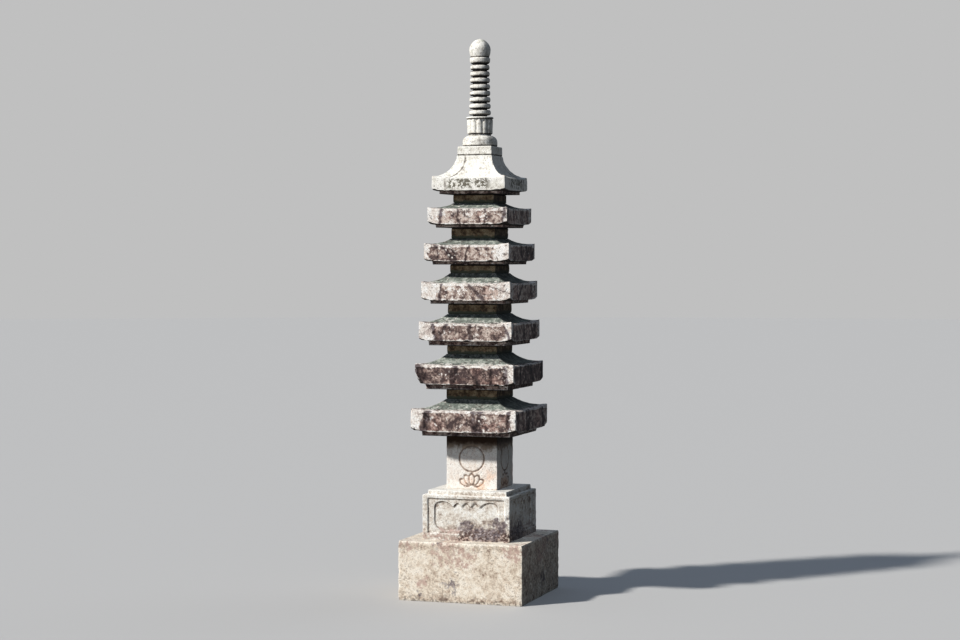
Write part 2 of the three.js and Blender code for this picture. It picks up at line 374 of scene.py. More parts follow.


# %% Growths
# Partly soot, partly painted shade: the black under overhangs and at the tops of the necks.
soot_and_shade_black = tone(44, 36, 31)
# Partly algae, partly painted shade on the sides turned from the sun.
algae_and_shade_grey = tone(109, 110, 108)


def growth(tree, place, under, colour, where, weight, scale=30.0):
    """Moss, soot, a stain or painted shade that follows a noted number."""
    breaks = cloud(tree, place, scale, detail=6.0, rough=0.65, shift=(6.6, 2.2, 0.7))
    cover = ragged(tree, where, (breaks, weight))
    return coat(tree, step(tree, cover, 0.38, 0.72), under, colour)


def algae_and_shade_bloom(tree, place, under):
    """Darkens the sides away from the sun: partly a grey bloom of algae, partly painted shade."""
    cover = ragged(tree, noted(tree, "away"), (cloud(tree, place, 9.0, detail=5.0), 0.8))
    amount = times(tree, step(tree, cover, 0.15, 0.85), 0.7)
    return coat(tree, amount, under, algae_and_shade_grey, "MULTIPLY")


# %% [markdown]
# ## The feel of the surface
#
# Roughness and bump finish the material. The grains, the marks of the dressing chisel and
# small pits are all under 2 mm deep. Real shapes this fine would take millions of points, so
# they are bump, and only larger dents are in the mesh.

# %% From a recipe to a material
tooth_depth = 0.002
usual_roughness = 0.86


def tooth(tree, place):
    grit = cloud(tree, place, 420.0, detail=2.0)
    marks = cloud(tree, place, 70.0, detail=5.0, rough=0.65)
    pits = step(tree, cloud(tree, place, 130.0, detail=2.0, shift=(2, 3, 4)), 0.32, 0.42)
    height = ragged(tree, 0.5, (grit, 0.25), (marks, 1.0), (pits, 0.5))
    inputs = {"Height": height, "Strength": 0.8, "Distance": tooth_depth}
    return node(tree, "ShaderNodeBump", inputs, output="Normal")


def stone(name, recipe):
    """A material from a recipe that is given the tree and the place, and returns a colour."""
    made = bpy.data.materials.new(name)
    made.use_nodes = True
    tree = made.node_tree
    place = node(tree, "ShaderNodeTexCoord", output="Object")
    shader = tree.nodes["Principled BSDF"]
    shader.inputs["Specular IOR Level"].default_value = 0.3
    # Every stone gets a grey coat on the sides turned from the sun: partly algae, partly painted
    # shade.
    colour = algae_and_shade_bloom(tree, place, recipe(tree, place))
    tree.links.new(colour, shader.inputs["Base Color"])
    rough = ragged(tree, usual_roughness, (cloud(tree, place, 40.0), 0.3))
    tree.links.new(rough, shader.inputs["Roughness"])
    tree.links.new(tooth(tree, place), shader.inputs["Normal"])
    print(name, "has", len(tree.nodes), "nodes")
    return made


# %% [markdown]
# ## From a crisp solid to an even skin
#
# A solid from model.glb is a copy of loose triangles, so the copy is merged first. It could
# be subdivided, but long thin triangles stay long and thin. A voxel remesh gives the stone
# an even skin of small squares that can be worn. It always melts the arrises a little, and
# granite keeps them crisp for a century, so points near a sharp edge of the solid are put
# back onto it.

# %% Helpers for an even skin
same_point = 0.00002
arris_angle = math.radians(25)


def merged_copy(name):
    """A closed bmesh of one solid."""
    shape = bmesh.new()
    shape.from_mesh(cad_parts[name].data)
    bmesh.ops.remove_doubles(shape, verts=shape.verts, dist=same_point)
    return shape


def edge_points(shape, spacing, wanted):
    """Points along the edges that are wanted, in a tree that finds the nearest."""
    points = []
    for edge in shape.edges:
        if wanted(edge):
            start, end = (v.co for v in edge.verts)
            count = math.ceil((end - start).length / spacing)
            points += [start.lerp(end, i / count) for i in range(count + 1)]
    tree = KDTree(len(points))
    for i, point in enumerate(points):
        tree.insert(point, i)
    tree.balance()
    return tree


def even_skin(shape, voxel):
    """Remeshes a closed bmesh into squares of one size, and frees the old one."""
    arrises = edge_points(shape, voxel / 3, lambda e: e.calc_face_angle(0) > arris_angle)
    rough = bpy.data.meshes.new("rough")
    shape.to_mesh(rough)
    shape.free()
    block = bpy.data.objects.new("rough", rough)
    bpy.context.scene.collection.objects.link(block)
    remesh = block.modifiers.new("skin", "REMESH")
    remesh.mode = "VOXEL"
    remesh.voxel_size = voxel
    ready = block.evaluated_get(bpy.context.evaluated_depsgraph_get())
    skin = bmesh.new()
    skin.from_mesh(ready.to_mesh())
    bpy.data.objects.remove(block)
    bpy.data.meshes.remove(rough)
    for v in skin.verts:
        point, _, distance = arrises.find(v.co)
        if distance < 0.75 * voxel:
            v.co = point
    return skin


body_shape = merged_copy("first_body")
print("the first body, merged, has", len(body_shape.verts), "corners")
body_shape.free()

# %% [markdown]
# ## Wear
#
# A bevel would wear an arris evenly all along, which no stone does. Here every point has a
# place on the crisp stone and one on a well-rubbed stone, and noise decides how far it has
# moved from the first to the second. Here and there a chip goes deeper. The distance
# between the two places also tells the materials where the arrises and the hollows are.
# The top and the underside carry the next stones, so they stay level and leave no gap.

# %% Wear
rubbings = 4
sharp_pull = 0.0025  # how far rubbing moves a point on a square arris
on_a_seat = 0.0002  # this near the top or the underside, a point stays level
broken_face = 0.006  # how rough the stone is where a corner broke off


def between(low, high, value):
    """0 at low, 1 at high, and a smooth step from one to the other. High may be the lower."""
    t = min(1.0, max(0.0, (value - low) / (high - low)))
    return t * t * (3 - 2 * t)


def wear(skin, seed, chips=0.008, dents=0.0011, least=0.2, most=0.9):
    """Rubs the arrises down, knocks chips out of them, dents the faces, notes the edges."""
    edge = skin.verts.layers.float.new("edge")
    crisp = [v.co.copy() for v in skin.verts]
    heights = [point.z for point in crisp]
    seats = (min(heights), max(heights))
    every_way = {"use_axis_x": True, "use_axis_y": True, "use_axis_z": True}
    for _ in range(rubbings):
        bmesh.ops.smooth_vert(skin, verts=skin.verts, factor=0.5, **every_way)
    skin.normal_update()
    shift = Vector((seed * 3.1, seed * 1.7, seed * 5.3))
    for v, start in zip(skin.verts, crisp):
        pull = v.co - start
        arris = max(-1.0, min(1.0, -pull.dot(v.normal) / sharp_pull))
        v[edge] = arris
        rubbed = between(-0.3, 0.5, noise.noise(start * 21 + shift))
        v.co = start.lerp(v.co, least + (most - least) * rubbed)
        if arris > 0.25:
            luck = noise.noise(start * 13 - shift) + 0.4 * noise.noise(start * 47 + shift)
            v.co += pull.normalized() * chips * between(0.34, 0.6, luck) * arris
        fine, broad = noise.fractal(start * 24 + shift, 1.0, 2.0, 4), noise.noise(start * 6 - shift)
        v.co -= v.normal * dents * (1 + (0.6 * fine + 0.4 * broad))
        if min(abs(start.z - seat) for seat in seats) < on_a_seat:
            v.co.z = start.z
    return skin


def knock_off(skin, corner, towards, depth, seed):
    """Breaks a corner off along a rough plane, depth below the corner."""
    out = Vector(towards).normalized()
    cut = Vector(corner).dot(out) - depth
    for v in skin.verts:
        rough = broken_face * noise.noise(v.co * 35 + Vector((seed, 0, 0)))
        beyond = v.co.dot(out) - cut + rough
        if beyond > 0:
            v.co -= out * beyond


print("half of the way from 0 to 1 is", between(0, 1, 0.5))

# %% [markdown]
# ## Notes on the mesh
#
# Zones such as a washed lip or a mossy slope follow the shape of a block, so they are worked
# out from each point's place and written on the mesh as numbers, for the material to read.
# They could be painted by hand in the editor, but a rule gives all four sides their due.

# %% Notes and finishing
crease_angle = math.radians(50)
totals = []


def note(skin, name, rule):
    layer = skin.verts.layers.float.new(name)
    for v in skin.verts:
        v[layer] = rule(v)


def turned_away(v):
    """1 on the right and the back, which the sun never reaches; painted shade and algae go there.
    """
    return between(-0.3, 0.5, 0.76 * v.normal.x + 0.65 * v.normal.y)


def finish_stone(skin, name, material):
    """Turns a worn bmesh into the piece that stands for the solid of that name."""
    foot = cad_box[0].z
    for v in skin.verts:
        v.co.z = max(v.co.z, foot)
    skin.normal_update()
    note(skin, "away", turned_away)
    data = bpy.data.meshes.new(name + "_stone")
    skin.to_mesh(data)
    skin.free()
    data.polygons.foreach_set("use_smooth", [True] * len(data.polygons))
    data.set_sharp_from_angle(angle=crease_angle)
    data.materials.append(material)
    piece = bpy.data.objects.new(name + "_stone", data)
    bpy.context.scene.collection.objects.link(piece)
    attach(piece, "root")
    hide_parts(name)
    triangles = sum(len(p.vertices) - 2 for p in data.polygons)
    print(piece.name, "has", triangles, "triangles")
    totals.append(triangles)


# %% [markdown]
# ## The zones of a roof
#
# Each roof is one block with a heavy upright eave. Rain washes its ends, its lip and its
# lower arris nearly white. The middle of each eave keeps its brown skin, darkest on the
# second roof, and damp draws dark runs across it. On the slope, moss lives near the neck,
# where water drips from the stone above and the eave above throws its shade, so that zone is
# partly moss and partly painted shade. The underside is painted black, partly soot and
# partly painted shade. The front and the back, and the two sides, mirror each other.

# %% Places on a roof
def along_the_eave(point, half):
    """How far along its side a point is, from 0 on the left to 1 on the right."""
    if abs(point.y) >= abs(point.x):
        return 0.5 + point.x / (2 * half)
    return 0.5 - point.y / (2 * half)


def rim_heights(name):
    """The lower and upper edge of a roof's eave, in the middle of a side."""
    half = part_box(name)[1].x
    corners = [v.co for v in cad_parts[name].data.vertices]
    rim = [point.z for point in corners if point.x > half - 0.001 and abs(point.y) < 0.1]
    return min(rim), max(rim)


eave, lip = rim_heights("first_roof")
print(f"the first eave runs from {eave:.3f} to {lip:.3f} m")

# %% Zones of a roof
washed_white, arris_white, sheltered_white = 1.05, 0.4, 0.12


def note_roof_zones(
    skin, name, above, ends, bleached, skin_tones=(0.5, 0.5), runs=(), crusts=()
):
    """Notes where a roof is bleached, how dark its skin is, and where damp and moss are."""
    half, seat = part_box(name)[1].x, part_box(above)[1].x
    eave, lip = rim_heights(name)

    def inward(v):
        """0 at the lip, 1 at the neck."""
        return (half - max(abs(v.co.x), abs(v.co.y))) / (half - seat)

    def on_slope(v):
        return v.co.z > lip - 0.006 and inward(v) > 0.02

    def on_eave(v):
        return inward(v) < 0.06 and v.co.z < lip + 0.01

    def wavering(v):
        """The place along the side, shaken a little, so that no zone has a straight border."""
        shake = 0.03 * noise.noise(v.co * 17) + 0.015 * noise.noise(v.co * 45)
        return along_the_eave(v.co, half) + shake

    def white(v):
        if on_slope(v):
            # Less white towards the neck: partly moss, partly painted shade under the eave above.
            return 0.2 + 0.7 * between(0.7, 0.0, inward(v))
        if not on_eave(v):
            return sheltered_white
        along = wavering(v)
        left_end = between(ends[0] + 0.05, ends[0] - 0.04, along)
        right_end = between(ends[1] - 0.05, ends[1] + 0.04, along)
        from_middle = min(abs(v.co.x), abs(v.co.y))
        near_corner = between(half - 0.024, half - 0.010, from_middle)
        near_lip = between(lip - 0.020, lip - 0.008, v.co.z)
        near_foot = between(eave + 0.02, eave + 0.006, v.co.z)
        amount = bleached + (washed_white - bleached) * max(left_end, right_end)
        return amount + arris_white * near_corner + near_lip + arris_white * near_foot

    def run(v):
        if not on_eave(v):
            return 0.0
        along = wavering(v)
        fall = (lip - v.co.z) / (lip - eave)
        aside = [
            abs(along - top - (foot - top) * fall) * 2 * half / width
            for top, foot, width in runs
        ]
        return max((between(1.3, 0.0, distance) for distance in aside), default=0.0)

    def crusted(v):
        along = wavering(v)
        return 1.0 if on_eave(v) and any(start < along < end for start, end in crusts) else 0.0

    def skin_tone(v):
        along = along_the_eave(v.co, half)
        return skin_tones[0] + (skin_tones[1] - skin_tones[0]) * along

    skin.normal_update()
    note(skin, "white", white)
    note(skin, "skin_tone", skin_tone)
    note(skin, "run", run)
    note(skin, "crusted", crusted)
    # Moss near the neck, partly painted shade under the eave above.
    note(skin, "moss_and_shade", lambda v: between(0.06, 0.5, inward(v)) if on_slope(v) else 0.0)
    note(skin, "stepped", lambda v: 0.0 if on_slope(v) or on_eave(v) else 1.0)
    # The underside: partly soot, partly painted shade.
    note(skin, "soot_and_shade", lambda v: between(-0.35, -0.75, v.normal.z))


# %% [markdown]
# ## Weathered granite
#
# The skin under the white is a patina: a ramp of three tones over noise, from dark to pale.
# The recipe lays a brown patina first, a teal one where moss is noted, which is partly
# painted shade, and a pale one where the stone is bleached, less of it on the sides turned
# from the sun, which is painted shade. Damp then darkens it, pits and crusts sit on it, and
# soot and painted shade cover the underside. One picture of old stone could be wrapped
# round instead, but then every roof would show the same marks.

# %% Ramp and patina
brown_skin = (tone(78, 63, 62), tone(148, 126, 117), tone(216, 200, 188))
moss_and_shade_skin = (tone(66, 73, 69), tone(114, 121, 115), tone(196, 201, 191))
bleached_skin = (tone(204, 190, 182), tone(239, 231, 222), tone(252, 250, 246))


def ramp(tree, value, *colours):
    """Turns a number into a colour. Each stop is a place and a colour, the ends at 0 and 1."""
    made = tree.nodes.new("ShaderNodeValToRGB")
    tree.links.new(value, made.inputs["Fac"])
    stops = made.color_ramp.elements
    stops[0].color = colours[0][1]
    stops[1].color = colours[-1][1]
    for place, colour in colours[1:-1]:
        stops.new(place).color = colour
    return made.outputs["Color"]


def patina(tree, place, start, dark, middling, pale):
    """A skin of three tones, mottled by clouds as wide as a hand, a thumb and a fingertip."""
    wide = cloud(tree, place, 7.0, detail=3.0, shift=(5.1, 2.7, 8.8))
    medium = cloud(tree, place, 21.0, detail=3.0, rough=0.6, shift=(1.1, 6.7, 3.8))
    small = cloud(tree, place, 55.0, detail=3.0, rough=0.6)
    mottle = ragged(tree, start, (wide, 1.2), (medium, 3.4), (small, 2.2))
    return ramp(tree, mottle, (0.0, dark), (0.5, middling), (1.0, pale))


# %% Recipe for a weathered roof
reddish_tint, damp_purple = tone(250, 214, 210), tone(92, 76, 86)
moss_and_shade_veil, crust_white = tone(136, 144, 134), tone(246, 240, 232)
pit_brown, fine_pit_brown = tone(78, 66, 62), tone(74, 62, 60)


def weathered_granite(name):
    def recipe(tree, place):
        tint, moss_and_shade = noted(tree, "skin_tone"), noted(tree, "moss_and_shade")

        reddish = cloud(tree, place, 5.0, detail=3.0, shift=(2.4, 9.1, 0.3))
        reddish = times(tree, step(tree, reddish, 0.5, 0.62), 0.4)
        brown = patina(tree, place, tint, *brown_skin)
        colour = coat(tree, reddish, brown, reddish_tint, "MULTIPLY")
        # Teal where moss is noted near the neck: partly moss, partly painted shade.
        moss_and_shade_patina = patina(tree, place, 0.5, *moss_and_shade_skin)
        colour = growth(tree, place, colour, moss_and_shade_patina, moss_and_shade, weight=0.8)

        cover = whiteness(tree, place, noted(tree, "white"), 1.0, 2.0, 1.4, arris=0.9)
        # Painted shade: less white on the sides turned from the sun.
        cover = darkened(tree, cover, "away", 0.5)
        pale = patina(tree, place, 0.6, *bleached_skin)
        colour = coat(tree, step(tree, cover, 0.52, 0.64), colour, pale)
        # A veil over the moss zone, partly painted shade.
        colour = coat(tree, times(tree, moss_and_shade, 0.45), colour, moss_and_shade_veil)

        breaks = cloud(tree, place, 26.0, detail=5.0, rough=0.65)
        damp = ragged(tree, noted(tree, "run"), (breaks, 1.7))
        damp = times(tree, step(tree, damp, 0.15, 0.95), 0.88)
        colour = coat(tree, damp, colour, damp_purple, "MULTIPLY")

        colour = specks(tree, place, colour, pit_brown, 40.0, 0.28, 0.7, detail=1.5)
        extra = plus(
            tree,
            times(tree, noted(tree, "crusted"), 0.12),
            times(tree, minus(tree, tint, 0.5), 0.25),
        )
        colour = lichen(tree, place, colour, crust_white, 0.032, 0.85, extra)
        colour = specks(tree, place, colour, fine_pit_brown, 88.0, 0.30, 0.5)
        colour = crystals(tree, place, colour)
        # Soot and painted shade on the underside.
        return growth(tree, place, colour, soot_and_shade_black, noted(tree, "soot_and_shade"), weight=0.5)

    return stone(name + "_granite", recipe)


# %% [markdown]
# ## The six weathered roofs
#
# Six recipes could be written out, but one recipe and a table show better how the stones
# differ: how far the white has come in from the ends, how much of the middle is bleached,
# how dark the skin is at the left and the right, where damp has drawn dark runs, and where
# white crusts sit. A run is a place on the lip, one on the lower arris, both from 0 on the
# left to 1 on the right, and a width in metres. The second roof has also lost the lower left
# corner of its front.

# %% Marks of the six roofs
roofs = {
    "first": {
        "ends": (0.10, 0.95),
        "bleached": 0.26,
        "skin_tones": (0.44, 0.50),
        "runs": [
            (0.17, 0.12, 0.050), (0.60, 0.60, 0.045), (0.66, 0.65, 0.03), (0.94, 0.91, 0.02)
        ],
        "crusts": [(0.66, 0.76)],
    },
    "second": {
        "ends": (-0.1, 0.93),
        "bleached": 0.10,
        "skin_tones": (0.18, 0.24),
        "runs": [
            (0.02, 0.06, 0.07), (0.41, 0.37, 0.04), (0.49, 0.66, 0.022), (0.76, 0.77, 0.02),
            (0.91, 0.93, 0.03),
        ],
    },
    "third": {
        "ends": (0.14, 0.93),
        "bleached": 0.28,
        "skin_tones": (0.34, 0.66),
        "runs": [
            (0.145, 0.19, 0.026), (0.30, 0.22, 0.03), (0.55, 0.57, 0.03), (0.91, 0.97, 0.02)
        ],
        "crusts": [(0.2, 0.38)],
    },
    "fourth": {
        "ends": (0.19, 0.88),
        "bleached": 0.36,
        "skin_tones": (0.40, 0.96),
        "runs": [(0.24, 0.21, 0.02), (0.53, 0.71, 0.034), (0.70, 1.25, 0.018)],
        "crusts": [(0.18, 0.42)],
    },
    "fifth": {
        "ends": (0.06, 0.84),
        "bleached": 0.15,
        "skin_tones": (0.26, 0.80),
        "runs": [
            (0.14, 0.17, 0.02), (0.21, 0.34, 0.03), (0.31, 0.39, 0.022), (0.53, 0.48, 0.02)
        ],
        "crusts": [(0.14, 0.36)],
    },
    "sixth": {
        "ends": (0.12, 0.97),
        "bleached": 0.50,
        "skin_tones": (0.66, 0.78),
        "runs": [
            (0.18, 0.155, 0.024), (0.38, 0.39, 0.018), (0.74, 0.70, 0.018), (0.95, 0.96, 0.02)
        ],
        "crusts": [(0.2, 0.6)],
    },
}
storeys = [*roofs, "seventh"]
print("damp runs a side:", sum(len(zones["runs"]) for zones in roofs.values()))

# %% Six weathered roofs
roof_voxel = 0.008
lost_corner = {"towards": (-1.0, -0.7, -0.9), "depth": 0.045}

for seed, (storey, zones) in enumerate(roofs.items()):
    name = storey + "_roof"
    skin = wear(even_skin(merged_copy(name), roof_voxel), seed)
    note_roof_zones(skin, name, storeys[seed + 1] + "_body", **zones)
    if storey == "second":
        low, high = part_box(name)
        corner = (low.x, low.y, rim_heights(name)[0] + 0.02)
        knock_off(skin, corner, seed=seed, **lost_corner)
    finish_stone(skin, name, weathered_granite(name))

# %% [markdown]
# ## The top roof
#
# Nothing drips on the top roof, so it is bare and bleached, with only a band of dark pits
# along the middle of each eave and a faint dark run beside each hip, where water comes down.
# It could share the recipe of the other six, but one ramp from dark to white is enough where
# no brown skin is left. The finial is of the same bleached granite, without the band.

# %% Recipe for bleached granite
crust_green, dust_grey, band_olive = tone(190, 196, 180), tone(126, 118, 112), tone(84, 78, 60)


def bleached_granite(name, band=False):
    """Sun-bleached granite, for the top roof and the finial."""
    def recipe(tree, place):
        start, hollows = (0.90, 0.5) if band else (0.84, 1.0)
        age = whiteness(tree, place, start, wide=0.9, medium=1.1, small=1.2, arris=0.2)
        # Hollows darker: partly dirt, partly painted shade.
        age = grime_and_shade_in_hollows(tree, age, hollows)
        if band:
            age = darkened(tree, age, "beside_hip", 0.6)
        else:
            # Joints darker as dirt; undersides and the gaps between the rings darker as painted
            # shade.
            age = darkened(tree, age, "joints_and_shade", 0.95)
        colour = ramp(
            tree,
            age,
            (0.0, tone(60, 57, 54)),
            (0.30, tone(140, 134, 126)),
            (0.52, tone(201, 195, 186)),
            (0.74, tone(236, 233, 222)),
            (1.0, tone(251, 249, 242)),
        )
        colour = lichen(tree, place, colour, crust_green, 0.035, 0.5)
        colour = specks(tree, place, colour, dust_grey, 60.0, 0.30, 0.6)
        colour = crystals(tree, place, colour, 0.8)
        if band:
            pits = noted(tree, "band")
            colour = specks(tree, place, colour, band_olive, 46.0, 0.74, 0.9, pits, detail=4.0)
            brown = patina(tree, place, 0.5, *brown_skin)
            colour = growth(tree, place, colour, brown, noted(tree, "stepped"), weight=0.5)
            # Soot and painted shade on the underside.
            colour = growth(tree, place, colour, soot_and_shade_black, noted(tree, "soot_and_shade"), weight=0.5)
        return colour

    return stone(name + "_granite", recipe)


# %% Top roof
name = "seventh_roof"
_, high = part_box(name)
half = high.x
eave, lip = rim_heights(name)
top_roof_voxel = 0.0065
beside_the_hip, drift = 0.112, 0.04


def pitted_band(v):
    outer, inner = sorted((abs(v.co.x), abs(v.co.y)), reverse=True)
    on_the_eave = between(half - 0.02, half - 0.008, outer)
    over_foot = between(eave + 0.008, eave + 0.03, v.co.z)
    under_lip = between(lip + 0.004, lip - 0.015, v.co.z)
    return on_the_eave * over_foot * under_lip * between(0.68, 0.48, inner / half)


def run_beside_hip(v):
    """A faint line to the right of the left hip of each side."""
    if along_the_eave(v.co, half) > 0.5:
        return 0.0
    outer, inner = sorted((abs(v.co.x), abs(v.co.y)), reverse=True)
    climb = max(0.0, (v.co.z - lip) / (high.z - lip))
    return between(0.012, 0.004, abs(outer - inner - beside_the_hip + drift * climb))


skin = wear(even_skin(merged_copy(name), top_roof_voxel), 7)
note_roof_zones(skin, name, "finial_base", ends=(0.0, 1.0), bleached=0.8)
note(skin, "band", pitted_band)
note(skin, "beside_hip", run_beside_hip)
finish_stone(skin, name, bleached_granite(name, band=True))

# %% [markdown]
# ## The necks
#
# Bodies two to seven are low blocks that live in the shade of the eaves. They stay damp and
# dark brown, a little green at the foot, where the slope below keeps them wet. A dark band
# at the top of each is partly soot and partly painted shade under the eave above. The recipe
# of the roofs could dress them too, but without white, runs and lichen a few coats are enough.
# Nothing knocks against them there, so they are hardly rubbed.

# %% Necks
neck_voxel = 0.009
neck_skin = (tone(88, 71, 54), tone(140, 118, 92), tone(176, 158, 130))
wet_green = tone(88, 92, 76)


def sheltered_granite(name):
    def recipe(tree, place):
        colour = crystals(tree, place, patina(tree, place, 0.5, *neck_skin))
        colour = growth(tree, place, colour, wet_green, noted(tree, "wet"), weight=1.6)
        return growth(tree, place, colour, soot_and_shade_black, noted(tree, "soot_and_shade"), weight=0.5)

    return stone(name + "_granite", recipe)


for seed, storey in enumerate(storeys[1:], start=20):
    name = storey + "_body"
    low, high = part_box(name)
    skin = wear(even_skin(merged_copy(name), neck_voxel), seed, chips=0.003, least=0.0, most=0.4)
    note(skin, "wet", lambda v: between(low.z + 0.05, low.z, v.co.z))
    # Partly soot, partly painted shade: the top of the neck under the eave above.
    note(skin, "soot_and_shade", lambda v: between(high.z - 0.018, high.z - 0.004, v.co.z))
    finish_stone(skin, name, sheltered_granite(name))

# %% [markdown]
# ## The carving on the first body
#
# Such towers often carry a moon disc over a lotus seat on the first body, cut about 4 mm
# deep. It could be a cutter and a boolean, but a line this shallow only needs the points
# under it to be pushed in.

# %% Moon and lotus
moon_height, moon_radius = 1.13, 0.105
lotus_height, fan_across, fan_up = 0.905, 0.070, 0.058
petal_length, petal_width = 0.044, 0.024
petal_angles = (0, -30, 30, -60, 60)  # the middle petal lies over its neighbours
carving_depth = 0.0045


def moon_and_lotus(across, height):
    """How deep the carving is at a place on the face, from 0 to 1."""
    from_moon = math.hypot(across, height - moon_height)
    depth = between(0.010, 0.004, abs(from_moon - moon_radius))
    for angle in petal_angles:
        s, c = math.sin(math.radians(angle)), math.cos(math.radians(angle))
        x, z = across - fan_across * s, height - lotus_height - fan_up * c
        size = math.hypot((x * s + z * c) / petal_length, (x * c - z * s) / petal_width)
        depth = max(depth, between(0.34, 0.12, abs(size - 1)))
        if size < 1:
            break
    return depth


print("depth on the ring:", moon_and_lotus(0, moon_height + moon_radius))

# %% [markdown]
# ## The first body
#
# The tall first body stands in the sun. Rain keeps its lower half nearly white with a peach
# tint. Its top under the eave is painted darker, partly soot and dust, partly painted shade.
# The peach could be mixed into the ramp, but as a coat of its own it can fade upwards, as a
# noted number tells it.

# %% Recipe for sunny granite
peach_tint, crumb_brown = tone(250, 222, 204), tone(138, 122, 112)
dust_and_shade_brown, soot_and_shade_brown = tone(168, 150, 132), tone(88, 70, 54)


def sunny_granite(name):
    def recipe(tree, place):
        age = whiteness(tree, place, 0.92, wide=0.8, medium=0.9, small=1.1, arris=0.15)
        # The carved lines are painted darker: partly dirt, partly painted shade in the grooves.
        age = darkened(tree, age, "carved", 0.7)
        colour = ramp(
            tree,
            age,
            (0.0, tone(92, 78, 70)),
            (0.35, tone(176, 158, 144)),
            (0.62, tone(232, 219, 206)),
            (1.0, tone(249, 244, 236)),
        )
        peach = cloud(tree, place, 8.0, detail=4.0, shift=(2.2, 0, 1))
        peach = times(tree, step(tree, peach, 0.46, 0.66), noted(tree, "peach"))
        colour = coat(tree, peach, colour, peach_tint, "MULTIPLY")
        colour = specks(tree, place, colour, crumb_brown, 70.0, 0.30, 0.5)
        colour = crystals(tree, place, colour, 0.7)
        # Dust and painted shade under the eave.
        dust_and_shade_cover = noted(tree, "dust_and_shade")
        colour = growth(tree, place, colour, dust_and_shade_brown, dust_and_shade_cover, weight=1.8, scale=14.0)
        # Soot and painted shade at the top.
        breaks = cloud(tree, place, 30.0, detail=6.0, rough=0.65)
        soot_and_shade_cover = ragged(tree, noted(tree, "soot_and_shade"), (breaks, 0.7))
        return coat(tree, step(tree, soot_and_shade_cover, 0.1, 0.9), colour, soot_and_shade_brown, "MULTIPLY")

    return stone(name + "_granite", recipe)


# %% First body
name = "first_body"
low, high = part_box(name)
body_voxel = 0.0053
skin = wear(even_skin(merged_copy(name), body_voxel), 19, chips=0.004)
skin.normal_update()
carved = []
for v in skin.verts:
    upright = abs(v.normal.z) < 0.5
    depth = moon_and_lotus(min(abs(v.co.x), abs(v.co.y)), v.co.z) if upright else 0.0
    carved.append(depth)
for v, depth in zip(skin.verts, carved):
    v.co -= v.normal * carving_depth * depth
deep = iter(carved)
note(skin, "carved", lambda v: next(deep))
# Top of the body darker: partly dust, partly painted shade.
note(skin, "dust_and_shade", lambda v: 0.8 * between(high.z - 0.20, high.z - 0.07, v.co.z))
# Top band: partly soot, partly painted shade.
note(skin, "soot_and_shade", lambda v: between(high.z - 0.14, high.z - 0.02, v.co.z))
note(skin, "peach", lambda v: between(low.z + 0.22, low.z + 0.05, v.co.z))
finish_stone(skin, name, sunny_granite(name))

# %% [markdown]
# ## Plinth granite
#
# Both plinths are of one granite, mottled by clouds. The top is painted lighter, partly
# washed by rain and partly painted light, and the hollows darker, partly dirt and partly
# painted shade. Over it lie pinkish stains, grey damp, and dark pits where grime and painted
# shade are noted. A single stain is a round patch with a noted place. Noise shakes its
# outline, because a true circle would look painted on.

# %% Recipe for plinth granite
damp_skin = (tone(84, 76, 80), tone(126, 115, 116), tone(184, 174, 170))
grime_brown, crumb_tan = tone(82, 64, 60), tone(134, 116, 104)


def plinth_granite(name, start, mottle, wash, stain):
    def recipe(tree, place):
        # The top lighter: partly rain-washed, partly painted light.
        top = plus(tree, start, times(tree, noted(tree, "washed_and_lit_top"), 0.2))
        age = whiteness(tree, place, top, 0.9 * mottle, 1.2 * mottle, 1.0 * mottle, arris=0.3)
        # Grime and painted shade darken the stone where noted.
        age = darkened(tree, grime_and_shade_in_hollows(tree, age, 0.3), "grime_and_shade", 0.3)
        colour = ramp(
            tree,
            age,
            (0.0, tone(70, 58, 54)),
            (0.28, tone(146, 128, 116)),
            (0.50, tone(204, 190, 176)),
            (0.72, tone(234, 225, 212)),
            (1.0, tone(249, 245, 237)),
        )
        colour = coat(tree, 1.0, colour, wash, "MULTIPLY")
        colour = growth(tree, place, colour, stain, noted(tree, "stain"), weight=2.2)
        damp = patina(tree, place, 0.5, *damp_skin)
        colour = growth(tree, place, colour, damp, noted(tree, "damp"), weight=2.1, scale=26.0)
        grime_and_shade = noted(tree, "grime_and_shade")
        colour = specks(tree, place, colour, grime_brown, 44.0, 0.62, 0.9, grime_and_shade, detail=4.0)
        colour = specks(tree, place, colour, crumb_tan, 60.0, 0.32, 0.5)
        return crystals(tree, place, colour, 0.8)

    return stone(name + "_granite", recipe)


# %% Stains
def patches(v, half, places):
    """How much of a patch a point is in. A patch is a place along the side, a height, a radius."""
    along = along_the_eave(v.co, half) + 0.05 * noise.noise(v.co * 13)
    height = v.co.z + 0.03 * noise.noise(v.co * 19)
    reach = [math.hypot((along - u) * 2 * half, height - z) / radius for u, z, radius in places]
    return max(between(1.5, 0.0, distance) for distance in reach)


# Upward faces: partly rain-washed, partly painted light.
def washed_and_lit_top(v):
    return between(0.5, 0.9, v.normal.z)


# %% [markdown]
# ## The upper plinth
#
# The upper plinth has a sunk panel with a cusped recess in each side. Both are in the solid,
# and the remesh keeps them. Painted shade darkens the upper part of the outline of the
# recess, and grime gathers in the lowest quarter, most of all on the right, with pits,
# pinkish stains and grey damp. The outline could be typed in as numbers, but the solid
# already holds it: its edges fold inwards, as the outer arrises of the block don't.

# %% Upper plinth
name = "upper_plinth"
low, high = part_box(name)
shape = merged_copy(name)
panel_back = high.x - 0.018
under_the_dais = high.z - 0.05
upper_plinth_voxel = 0.006


def on_the_recess(e):
    folds_inwards = e.calc_face_angle_signed(0) < -0.5
    return folds_inwards and all(
        max(abs(v.co.x), abs(v.co.y)) < panel_back and v.co.z < under_the_dais for v in e.verts
    )


outline = edge_points(shape, 0.004, on_the_recess)
skin = wear(even_skin(shape, upper_plinth_voxel), 31, chips=0.004)


